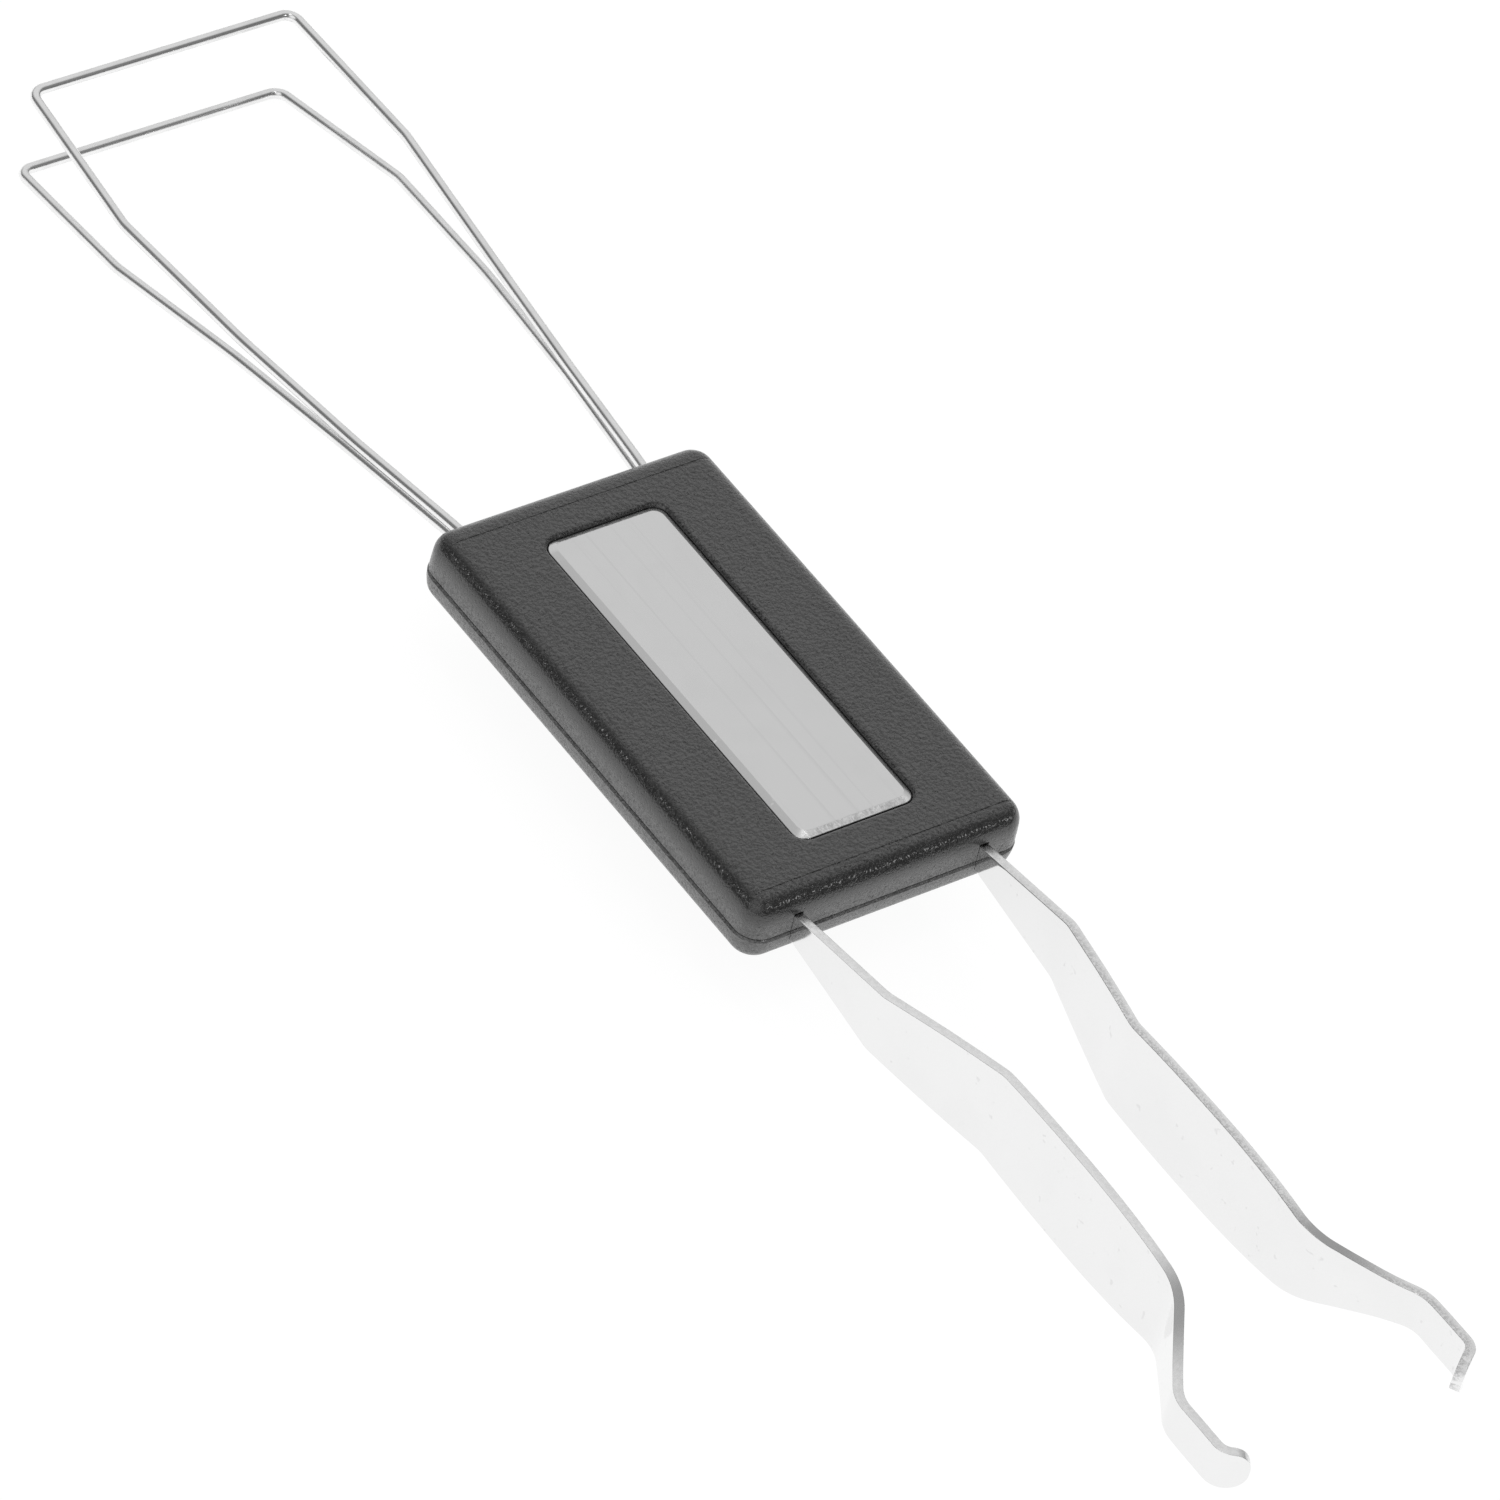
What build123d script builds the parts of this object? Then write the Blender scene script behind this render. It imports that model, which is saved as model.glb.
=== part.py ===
from build123d import *
import math
import os

os.makedirs("parts", exist_ok=True)

# Handle shells, sizes in mm; heights count from the seam between the shells
handle_width = 24.2
handle_length = 41.2
corner_radius = 1.9
lower_corner_radius = 2.0
upper_height = 3.34
lower_height = 2.26
edge_radius = 1.65
lower_edge_radius = 1.6
seam_step = 0.1
seam_break = 0.15
end_slope_length = 2.1
end_slope_drop = 0.12

# Inlay plate in the top of the upper shell
pocket_width = 10.38
pocket_length = 31.97
pocket_radius = 1.15
pocket_rim_run = 0.43
pocket_rim_drop = 0.39
plate_gap = 0.085
plate_thickness = 0.8
plate_stand = 0.0
plate_bevel_run = 0.51
plate_bevel_drop = 0.24

# Locating lugs on the lower shell and their sockets in the upper one
lug_width = 1.6
lug_height = 1.4
lug_gap = 0.05
lug_spots = [(4.0, -12.0), (-4.0, 17.2)]

# Wire loops, given for the right-hand side; the left-hand side is its mirror image
wire_radius = 0.4
upper_level = 0.72
lower_level = -0.15
wire_gap = 0.03
anchor_x = 7.0
anchor_y = 14.0
anchor_radius = 1.2
anchor_angle = 30.0
anchor_length = 2.6
exit_x = 8.15
exit_run = 1.5
loop_corner_radius = 1.1
upper_bow_near = (9.51, 32.5, 0.12)
upper_bow_far = (11.05, 45.0, -0.2)
upper_kink = (12.45, 58.46, -0.06)
upper_corner = (11.53, 72.78, 0.57)
lower_bow_near = (9.65, 33.0, -0.78)
lower_bow_far = (11.1, 45.0, -1.93)
lower_kink = (12.52, 58.21, -4.03)
lower_corner = (11.55, 72.26, -6.8)
kink_radius = 4.0

# Spring strip, bent from flat stock standing on edge
strip_thickness = 0.75
strip_level = 0.46
strip_gap = 0.03
strip_top_gap = 0.05
bridge_y = 4.0
bridge_radius = 2.5
leg_x = 8.05
shoulder_y = -30.3
shoulder_radius = 3.1
grip_near = (5.5, -40.7)
grip_near_radius = 3.25
grip_far = (5.68, -60.96)
grip_far_radius = 5.3
jaw_near = (10.73, -67.99)
jaw_near_radius = 3.0
hook_corner = (10.74, -73.06)
hook_corner_radius = 1.25
hook_angle = 57.9
hook_length = 2.12
hook_round = 1.4

# Width of the flat strip at distances from the middle of the handle, towards the hooks
root_width = 2.0
flare_start = 20.0
widths = [
    (30.0, 5.22),
    (36.0, 6.75),
    (42.0, 7.72),
    (48.0, 8.1),
    (54.0, 7.91),
    (58.0, 7.16),
    (61.0, 6.1),
    (64.0, 4.53),
    (66.0, 3.62),
    (68.5, 3.25),
]
hook_width = 3.3

# Notches in the front wall that leave the strip free to spring
notch_width = 0.87
notch_depth = 2.2
notch_top = 1.75
notch_bottom = 0.68

# The lower loop's crossbar is the lowest point and the bounding box is centred on X = Y = 0
hook_turn = math.radians(hook_angle)
hook_tip = (
    hook_corner[0] - hook_length * math.sin(hook_turn),
    hook_corner[1] - hook_length * math.cos(hook_turn),
)
front_reach = -hook_tip[1] + strip_thickness / 2 * math.sin(hook_turn)
back_reach = max(upper_corner[1], lower_corner[1]) + wire_radius
handle_y = (front_reach - back_reach) / 2
seam_z = wire_radius - lower_corner[2]
seam = Plane(origin=(0, handle_y, seam_z))
top = Plane(origin=(0, handle_y, seam_z + upper_height))
strip_plane = Plane(origin=(0, handle_y, seam_z + strip_level))
side = Plane(origin=(0, handle_y, seam_z), x_dir=(0, 1, 0), z_dir=(1, 0, 0))
strip_side = Plane(origin=(0, handle_y, seam_z + strip_level), x_dir=(0, 1, 0), z_dir=(1, 0, 0))

half_width = handle_width / 2
half_length = handle_length / 2
anchor_turn = math.radians(anchor_angle)
anchor_tip = (anchor_x - anchor_length * math.sin(anchor_turn), anchor_y - anchor_length * math.cos(anchor_turn))
pocket_floor = upper_height + plate_stand - plate_thickness

# The edge rounds stay inside the corners, and the end slopes start on the straight sides
top_round = min(edge_radius, corner_radius - seam_step - 0.15)
back_round = min(lower_edge_radius, lower_corner_radius - 0.2)
slope_run = max(end_slope_length, corner_radius + 0.2)


def mirrored(points):
    # Adds the mirror image across the YZ plane, so that a path runs from side to side
    return points + [(-p[0],) + tuple(p[1:]) for p in reversed(points)]


def rounded_path(points, radii):
    # Straight runs joined by tangent arcs, drawn into the line builder that is open
    # A radius of nothing leaves a slight bend as a plain corner
    corners = [Vector(*p) for p in points]
    start = corners[0]
    for before, corner, after, radius in zip(corners, corners[1:], corners[2:], radii):
        if not radius:
            Line(start, corner)
            start = corner
            continue
        back = (before - corner).normalized()
        ahead = (after - corner).normalized()
        half = math.radians(back.get_angle(ahead)) / 2
        run = radius / math.tan(half)
        middle = corner + (back + ahead).normalized() * (radius / math.sin(half) - radius)
        Line(start, corner + back * run)
        ThreePointArc(corner + back * run, middle, corner + ahead * run)
        start = corner + ahead * run
    Line(start, corners[-1])


def beside(points, radii, shift):
    # The same bent path moved sideways to its left by shift, with its bend radii changed to suit
    corners = [Vector(*p) for p in points]
    runs = [(b - a).normalized() for a, b in zip(corners, corners[1:])]
    lefts = [Vector(-r.Y, r.X) for r in runs]
    moved = [corners[0] + lefts[0] * shift]
    for corner, one, two in zip(corners[1:], lefts, lefts[1:]):
        middle = (one + two).normalized()
        moved.append(corner + middle * (shift / middle.dot(one)))
    moved.append(corners[-1] + lefts[-1] * shift)
    turns = [a.X * b.Y - a.Y * b.X for a, b in zip(runs, runs[1:])]
    changed = [r - math.copysign(shift, t) for r, t in zip(radii, turns)]
    return [(v.X, v.Y) for v in moved], changed


# Plan of the strip: one hook, its blade, the bridge inside the handle and the other blade and hook
blade = [hook_tip, hook_corner, jaw_near, grip_far, grip_near, (leg_x, shoulder_y), (leg_x, bridge_y)]
strip_points = mirrored(blade)
blade_radii = [
    hook_corner_radius,
    jaw_near_radius,
    grip_far_radius,
    grip_near_radius,
    shoulder_radius,
    bridge_radius,
]
strip_radii = blade_radii + blade_radii[::-1]


def strip_outline(half):
    # Closed outline of the strip's plan, half thick on each side of its middle line
    one, one_radii = beside(strip_points, strip_radii, half)
    two, two_radii = beside(strip_points, strip_radii, -half)
    rounded_path(one, one_radii)
    rounded_path(two, two_radii)
    Line(one[0], two[0])
    Line(one[-1], two[-1])


def width_curve(up):
    # One long edge of the flat strip, from the root in the handle to the hook
    points = [(-d, up * w / 2) for d, w in widths]
    flare = (-flare_start, up * root_width / 2)
    far = (-front_reach - 1, up * hook_width / 2)
    Line((bridge_y + 2, up * root_width / 2), flare)
    Line(flare, points[0])
    Spline(points, tangents=[Vector(points[0][0] - flare[0], points[0][1] - flare[1]), Vector(-1, 0)])
    Line(points[-1], (points[-1][0] - 1.5, up * hook_width / 2))
    Line((points[-1][0] - 1.5, up * hook_width / 2), far)


with BuildPart() as switch_spring:
    with BuildSketch(strip_plane):
        with BuildLine():
            strip_outline(strip_thickness / 2)
        make_face()
    extrude(amount=max(w for d, w in widths), both=True)
    with BuildSketch(strip_side):
        with BuildLine():
            width_curve(1)
            width_curve(-1)
            Line((bridge_y + 2, root_width / 2), (bridge_y + 2, -root_width / 2))
            Line((-front_reach - 1, hook_width / 2), (-front_reach - 1, -hook_width / 2))
        make_face()
    extrude(amount=handle_width, both=True, mode=Mode.INTERSECT)
    tip_edges = [
        e
        for e in switch_spring.edges()
        if abs(e.length - strip_thickness) < 0.01
        and abs(abs(e.center().X) - hook_tip[0]) < 0.05
        and abs(e.center().Y - hook_tip[1] - handle_y) < 0.05
    ]
    fillet(tip_edges, radius=hook_round)

upper_path = mirrored(
    [
        anchor_tip + (upper_level,),
        (anchor_x, anchor_y, upper_level),
        (exit_x, half_length + exit_run, upper_level),
        upper_bow_near,
        upper_bow_far,
        upper_kink,
        upper_corner,
    ]
)
upper_radii = [anchor_radius, 0, 0, 0, kink_radius, loop_corner_radius]
lower_path = mirrored(
    [
        anchor_tip + (lower_level,),
        (anchor_x, anchor_y, lower_level),
        (exit_x, half_length + exit_run, lower_level),
        lower_bow_near,
        lower_bow_far,
        lower_kink,
        lower_corner,
    ]
)
lower_radii = [anchor_radius, 0, 0, 0, kink_radius, loop_corner_radius]


def placed(points):
    return [(x, y + handle_y, z + seam_z) for x, y, z in points]


with BuildPart() as upper_loop:
    with BuildLine() as upper_line:
        rounded_path(placed(upper_path), upper_radii + upper_radii[::-1])
    with BuildSketch(Plane(origin=upper_line.line @ 0, z_dir=upper_line.line % 0)):
        Circle(wire_radius)
    sweep(path=upper_line.line, transition=Transition.RIGHT)

with BuildPart() as lower_loop:
    with BuildLine() as lower_line:
        rounded_path(placed(lower_path), lower_radii + lower_radii[::-1])
    with BuildSketch(Plane(origin=lower_line.line @ 0, z_dir=lower_line.line % 0)):
        Circle(wire_radius)
    sweep(path=lower_line.line, transition=Transition.RIGHT)

# Plan of the grooves that hold the wire ends; each runs out through the back wall
groove_reach = half_length + exit_run
groove_tip = (anchor_tip[0] - wire_gap * math.sin(anchor_turn), anchor_tip[1] - wire_gap * math.cos(anchor_turn))
groove_points = [groove_tip, (anchor_x, anchor_y), (exit_x, groove_reach)]
left_groove_points = [(-x, y) for x, y in groove_points]
groove_width = 2 * (wire_radius + wire_gap)
groove_top = upper_level + wire_radius + wire_gap
groove_bottom = lower_level - wire_radius - wire_gap
notch_spots = [(leg_x, -half_length), (-leg_x, -half_length)]

with BuildPart() as lower_shell:
    with BuildSketch(seam):
        RectangleRounded(handle_width, handle_length, lower_corner_radius)
    extrude(amount=-lower_height)
    fillet(lower_shell.faces().sort_by(Axis.Z)[0].edges(), radius=back_round)
    with BuildSketch(seam):
        with BuildLine():
            rounded_path(groove_points, [anchor_radius])
        trace(line_width=groove_width)
        with BuildLine():
            rounded_path(left_groove_points, [anchor_radius])
        trace(line_width=groove_width)
    extrude(amount=groove_bottom, mode=Mode.SUBTRACT)
    with BuildSketch(seam):
        with BuildLine():
            strip_outline(strip_thickness / 2 + strip_gap)
        make_face()
    extrude(amount=strip_level - root_width / 2, mode=Mode.SUBTRACT)
    with BuildSketch(seam):
        with Locations(*notch_spots):
            Rectangle(notch_width, 2 * notch_depth)
    extrude(amount=-notch_bottom, mode=Mode.SUBTRACT)
    with BuildSketch(seam):
        with Locations(*lug_spots):
            Rectangle(lug_width, lug_width)
    extrude(amount=lug_height)

with BuildPart() as upper_shell:
    with BuildSketch(seam):
        RectangleRounded(handle_width - 2 * seam_step, handle_length - 2 * seam_step, corner_radius - seam_step)
    extrude(amount=upper_height)
    with BuildSketch(side):
        slope_start = half_length - slope_run
        slope_end = half_length + slope_run
        for sign in (1, -1):
            with BuildLine():
                Polyline(
                    (sign * slope_start, upper_height),
                    (sign * slope_end, upper_height),
                    (sign * slope_end, upper_height - 2 * end_slope_drop),
                    close=True,
                )
            make_face()
    extrude(amount=handle_width, both=True, mode=Mode.SUBTRACT)
    rim = [
        e
        for e in upper_shell.edges()
        if e.center().Z > seam_z + upper_height - 2 * end_slope_drop - 0.05
        and (abs(e.center().X) > half_width - corner_radius or abs(e.center().Y - handle_y) > half_length - 1)
    ]
    fillet(rim, radius=top_round)
    chamfer(upper_shell.faces().sort_by(Axis.Z)[0].edges(), length=seam_break)
    with BuildSketch(top):
        RectangleRounded(pocket_width, pocket_length, pocket_radius)
    extrude(amount=pocket_floor - upper_height, mode=Mode.SUBTRACT)
    pocket_rim = [
        e
        for e in upper_shell.edges()
        if abs(e.center().Z - seam_z - upper_height) < 0.01
        and abs(e.center().X) < pocket_width / 2 + 0.01
        and abs(e.center().Y - handle_y) < pocket_length / 2 + 0.01
    ]
    top_face = upper_shell.faces().filter_by(Axis.Z).sort_by(Axis.Z)[-1]
    chamfer(pocket_rim, length=pocket_rim_run, length2=pocket_rim_drop, reference=top_face)
    with BuildSketch(seam):
        with BuildLine():
            rounded_path(groove_points, [anchor_radius])
        trace(line_width=groove_width)
        with BuildLine():
            rounded_path(left_groove_points, [anchor_radius])
        trace(line_width=groove_width)
    extrude(amount=groove_top, mode=Mode.SUBTRACT)
    with BuildSketch(seam):
        with BuildLine():
            strip_outline(strip_thickness / 2 + strip_gap)
        make_face()
    extrude(amount=strip_level + root_width / 2 + strip_top_gap, mode=Mode.SUBTRACT)
    with BuildSketch(seam):
        with Locations(*notch_spots):
            Rectangle(notch_width, 2 * notch_depth)
    extrude(amount=notch_top, mode=Mode.SUBTRACT)
    with BuildSketch(seam):
        with Locations(*lug_spots):
            Rectangle(lug_width + 2 * lug_gap, lug_width + 2 * lug_gap)
    extrude(amount=lug_height + lug_gap, mode=Mode.SUBTRACT)

with BuildPart() as inlay_plate:
    with BuildSketch(seam.offset(pocket_floor)):
        RectangleRounded(pocket_width - 2 * plate_gap, pocket_length - 2 * plate_gap, pocket_radius - plate_gap)
    extrude(amount=plate_thickness)
    plate_face = inlay_plate.faces().sort_by(Axis.Z)[-1]
    chamfer(plate_face.edges(), length=plate_bevel_run, length2=plate_bevel_drop, reference=plate_face)

upper_shell.part.label = "upper_shell"
export_step(upper_shell.part, "parts/upper_shell.step")
lower_shell.part.label = "lower_shell"
export_step(lower_shell.part, "parts/lower_shell.step")
inlay_plate.part.label = "inlay_plate"
export_step(inlay_plate.part, "parts/inlay_plate.step")
upper_loop.part.label = "upper_loop"
export_step(upper_loop.part, "parts/upper_loop.step")
lower_loop.part.label = "lower_loop"
export_step(lower_loop.part, "parts/lower_loop.step")
switch_spring.part.label = "switch_spring"
export_step(switch_spring.part, "parts/switch_spring.step")
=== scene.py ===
import math
import bpy
import numpy as np
from mathutils import Matrix, Vector


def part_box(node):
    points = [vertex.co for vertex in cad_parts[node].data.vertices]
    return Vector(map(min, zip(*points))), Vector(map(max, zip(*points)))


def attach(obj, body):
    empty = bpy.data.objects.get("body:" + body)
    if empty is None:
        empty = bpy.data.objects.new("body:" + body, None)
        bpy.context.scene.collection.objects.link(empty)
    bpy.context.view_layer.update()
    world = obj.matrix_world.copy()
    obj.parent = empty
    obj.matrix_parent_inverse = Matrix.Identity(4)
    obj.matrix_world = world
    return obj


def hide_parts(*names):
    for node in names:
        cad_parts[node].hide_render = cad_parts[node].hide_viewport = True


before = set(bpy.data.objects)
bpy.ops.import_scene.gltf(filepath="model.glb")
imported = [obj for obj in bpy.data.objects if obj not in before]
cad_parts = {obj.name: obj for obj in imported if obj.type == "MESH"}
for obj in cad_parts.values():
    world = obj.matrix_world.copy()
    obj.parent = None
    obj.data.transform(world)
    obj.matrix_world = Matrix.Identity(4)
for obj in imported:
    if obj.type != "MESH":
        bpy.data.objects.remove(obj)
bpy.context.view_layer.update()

mm = 0.001

# The pieces below are drawn in mm from the middle of the handle at the seam between its shells
upperLow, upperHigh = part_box("upper_shell")
lowerLow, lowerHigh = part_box("lower_shell")
plateLow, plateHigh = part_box("inlay_plate")
handleOrigin = np.array([0.0, (lowerLow.y + lowerHigh.y) / 2, upperLow.z])
halfWidth = (lowerHigh.x - lowerLow.x) / 2 / mm
halfLength = (lowerHigh.y - lowerLow.y) / 2 / mm
topHeight = (upperHigh.z - upperLow.z) / mm
bottomDepth = (upperLow.z - lowerLow.z) / mm
pocketFloor = (plateLow.z - upperLow.z) / mm


# Mesh helpers


def unit(v):
    # Vectors brought to length 1
    return v / np.linalg.norm(v, axis=-1, keepdims=True)


def gridQuads(rows, cols):
    # Corner numbers of the quads between neighbouring rings, the last column joined to the first
    row = np.arange(rows - 1)[:, None] * cols
    col = np.arange(cols)[None, :]
    beside = (col + 1) % cols
    return np.stack([row + col, row + beside, row + cols + beside, row + cols + col], axis=-1)


def closedFaces(rows, cols):
    # The quads of a stack of rings, with the first and the last ring closed by one face each
    ring = np.arange(cols)
    caps = [ring[::-1].tolist(), (ring + (rows - 1) * cols).tolist()]
    return gridQuads(rows, cols).reshape(-1, 4).tolist() + caps


def roundedColumns(frontStops, backStops, sideStops, cornerSteps):
    # Points round a rounded rectangle, anticlockwise from its front left corner: each is a share of
    # the straight half runs in X and Y, and an angle round the corner arc
    turn = np.linspace(0, 90, cornerSteps + 1)
    arc = np.ones(len(turn))
    front = np.sort(np.array(frontStops, float))
    back = np.sort(np.array(backStops, float))[::-1]
    side = np.sort(np.array(sideStops, float))
    ends = np.ones(len(side))
    shareX = np.concatenate([front, arc, ends, arc, back, -arc, -ends, -arc])
    shareY = np.concatenate([front * 0 - 1, -arc, side, arc, back * 0 + 1, arc, side[::-1], -arc])
    angle = np.concatenate(
        [front * 0 - 90, turn - 90, ends * 0, turn, back * 0 + 90, turn + 90, ends * 180, turn + 180]
    )
    return shareX, shareY, np.radians(angle)


def ringGrid(columns, halfX, halfY, radius):
    # One rounded rectangle for each row: its corner centre plus the arc's radius at the column's angle
    shareX, shareY, angle = columns
    halfX, halfY, radius = (np.asarray(v, float)[:, None] for v in (halfX, halfY, radius))
    x = shareX * (halfX - radius) + radius * np.cos(angle)
    y = shareY * (halfY - radius) + radius * np.sin(angle)
    return x, y


def bentPath(corners, radii, arcStep):
    # Straight runs joined by arcs: bend centre plus a radius vector turned from one run to the next
    corners = np.array(corners, float)
    parts = [corners[:1]]
    for before, corner, after, radius in zip(corners, corners[1:], corners[2:], radii):
        back = unit(before - corner)
        ahead = unit(after - corner)
        half = math.acos(float(back @ ahead)) / 2
        centre = corner + unit(back + ahead) * radius / math.sin(half)
        start = corner + back * radius / math.tan(half) - centre
        end = corner + ahead * radius / math.tan(half) - centre
        across = unit(end - start * (end @ start) / radius**2) * radius
        steps = max(3, math.ceil((math.pi - 2 * half) / math.radians(arcStep)) + 1)
        turn = np.linspace(0, math.pi - 2 * half, steps)[:, None]
        parts.append(centre + start * np.cos(turn) + across * np.sin(turn))
    parts.append(corners[-1:])
    return np.concatenate(parts)


def mirroredPath(half, radii, arcStep):
    # A bent path through the corners of one half and then their mirror images in reverse
    other = [(-x, y, z) for x, y, z in half[::-1]]
    return bentPath(half + other, radii + radii[::-1], arcStep)


def alongPath(path):
    # Distance from the start of a path to each of its points
    return np.concatenate([[0], np.cumsum(np.linalg.norm(np.diff(path, axis=0), axis=1))])


def pathFrames(path):
    # Level sideways and upright directions at each point, from the mean of the runs that meet there
    runs = unit(np.diff(path, axis=0))
    tangent = unit(np.concatenate([runs[:1], unit(runs[:-1] + runs[1:]), runs[-1:]]))
    side = unit(np.cross([0, 0, 1], tangent))
    return side, np.cross(tangent, side)


def carryProfile(path, along, across, above):
    # Each point of the path plus the profile's offsets sideways and upright, and the same profile laid
    # out straight, with the distance along the path as its X
    side, up = pathFrames(path)
    points = path[:, None] + side[:, None] * across[..., None] + up[:, None] * above[..., None]
    shape = points.shape[:2]
    flow = np.stack([np.broadcast_to(v, shape) for v in (along[:, None], across, above)], axis=-1)
    return points, flow.reshape(-1, 3)


def smoothThrough(x, knots, values):
    # Cubic curve through the knots, with slopes from each knot's neighbours
    knots, values = np.array(knots, float), np.array(values, float)
    slopes = np.gradient(values, knots)
    x = np.clip(x, knots[0], knots[-1])
    i = np.clip(np.searchsorted(knots, x) - 1, 0, len(knots) - 2)
    gap = knots[i + 1] - knots[i]
    t = (x - knots[i]) / gap
    rise = values[i] * (2 * t**3 - 3 * t**2 + 1) + values[i + 1] * (3 * t**2 - 2 * t**3)
    return rise + gap * (slopes[i] * (t**3 - 2 * t**2 + t) + slopes[i + 1] * (t**3 - t**2))


def makePiece(name, points, faces, node, material, flow=None, edge=None, sharpAngle=35):
    # points in mm from the handle's middle; flow is each point's place on the piece laid out straight
    mesh = bpy.data.meshes.new(name)
    placed = np.asarray(points, float).reshape(-1, 3) * mm + handleOrigin
    mesh.from_pydata(placed.tolist(), [], faces)
    mesh.update()
    if flow is not None:
        layer = mesh.attributes.new("flow", "FLOAT_VECTOR", "POINT")
        layer.data.foreach_set("vector", (np.asarray(flow, float) * mm).ravel())
    if edge is not None:
        layer = mesh.attributes.new("edge", "FLOAT", "POINT")
        layer.data.foreach_set("value", np.asarray(edge, float).ravel())
    mesh.shade_smooth()
    mesh.set_sharp_from_angle(angle=math.radians(sharpAngle))
    piece = bpy.data.objects.new(name, mesh)
    bpy.context.scene.collection.objects.link(piece)
    mesh.materials.append(material)
    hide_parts(node)
    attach(piece, "root")
    print("made", name, len(mesh.polygons), "faces")


# Shader helpers


def emptyTree(owner):
    # The cleared node tree of a material or the world
    owner.use_nodes = True
    owner.node_tree.nodes.clear()
    return owner.node_tree


def feed(tree, made, values=None, links=None):
    # Sets a node's sockets to values, or links other nodes' outputs into them
    for key, value in (values or {}).items():
        made.inputs[key].default_value = value
    for key, source in (links or {}).items():
        tree.links.new(source, made.inputs[key])


def put(tree, kind, values=None, links=None, **settings):
    # Adds a node with its settings and feeds its sockets
    made = tree.nodes.new(kind)
    for key, value in settings.items():
        setattr(made, key, value)
    feed(tree, made, values, links)
    return made


def newMaterial(name):
    material = bpy.data.materials.new(name)
    tree = emptyTree(material)
    surface = put(tree, "ShaderNodeBsdfPrincipled")
    put(tree, "ShaderNodeOutputMaterial", links={0: surface.outputs[0]})
    return material, tree, surface


def mathNode(tree, operation, *terms):
    # One step of arithmetic on numbers and other nodes' outputs
    made = put(tree, "ShaderNodeMath", operation=operation)
    for socket, term in zip(made.inputs, terms):
        if isinstance(term, (int, float)):
            socket.default_value = term
        else:
            tree.links.new(term, socket)
    return made.outputs[0]


def productOf(tree, first, *others):
    made = first
    for other in others:
        made = mathNode(tree, "MULTIPLY", made, other)
    return made


def awayFrom(tree, value, level):
    # Distance of a value from a level, on either side of it
    return mathNode(tree, "ABSOLUTE", mathNode(tree, "SUBTRACT", value, level))


def rangeNode(tree, value, start, end=(0.0, 1.0)):
    # Smooth step from one end value to the other as the value goes through the start range
    made = put(
        tree,
        "ShaderNodeMapRange",
        {"From Min": start[0], "From Max": start[1], "To Min": end[0], "To Max": end[1]},
        {"Value": value},
        interpolation_type="SMOOTHSTEP",
    )
    return made.outputs[0]


def bandNode(tree, value, band, end=(0.0, 1.0), level=0.0):
    # The same step over a band that is given in mm from a level
    return rangeNode(tree, value, (level + band[0] * mm, level + band[1] * mm), end)


def grey(level):
    return (level, level, level, 1.0)


def mixTone(tree, factor, first, second):
    # Mixes two greys, each a level or another node's output
    made = put(tree, "ShaderNodeMix", links={"Factor": factor}, data_type="RGBA")
    for socket, tone in zip((made.inputs[6], made.inputs[7]), (first, second)):
        if isinstance(tone, float):
            socket.default_value = grey(tone)
        else:
            tree.links.new(tone, socket)
    return made.outputs[2]


def noiseNode(tree, vector, fineness, shape):
    made = put(tree, "ShaderNodeTexNoise", shape, {"Vector": vector, "Scale": fineness})
    return made.outputs[0]


def bumpNode(tree, height, strength, depth):
    made = put(tree, "ShaderNodeBump", {"Strength": strength, "Distance": depth * mm}, {"Height": height})
    return made.outputs[0]


def newGroup(name, amounts, outputs):
    # A shader group that takes a vector and some amounts, with the nodes at its two ends
    group = bpy.data.node_groups.new(name, "ShaderNodeTree")
    group.interface.new_socket(name="Vector", in_out="INPUT", socket_type="NodeSocketVector")
    for label in amounts:
        group.interface.new_socket(name=label, in_out="INPUT", socket_type="NodeSocketFloat")
    for label in outputs:
        group.interface.new_socket(name=label, in_out="OUTPUT", socket_type="NodeSocketFloat")
    return group, group.nodes.new("NodeGroupInput"), group.nodes.new("NodeGroupOutput")


def useGroup(tree, group, vector, **amounts):
    return put(tree, "ShaderNodeGroup", amounts, {"Vector": vector}, node_tree=group).outputs


# Shared effects; each is given a fineness in waves per metre, and its dictionary holds multiples of it

# Streaks: noise drawn out along X of the vector, as fine lines left by drawing or brushing
streak = {"noise": {"Detail": 2.0, "Roughness": 0.6}}
streakGroup, given, result = newGroup("streaks", ["Fineness", "Stretch"], ["Lines"])
vector = given.outputs["Vector"]
stretch = put(streakGroup, "ShaderNodeCombineXYZ", {"Y": 1.0, "Z": 1.0}, {"X": given.outputs["Stretch"]})
drawnOut = put(
    streakGroup, "ShaderNodeVectorMath", links={0: vector, 1: stretch.outputs[0]}, operation="MULTIPLY"
)
lines = noiseNode(streakGroup, drawnOut.outputs[0], given.outputs["Fineness"], streak["noise"])
feed(streakGroup, result, links={"Lines": lines})

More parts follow.
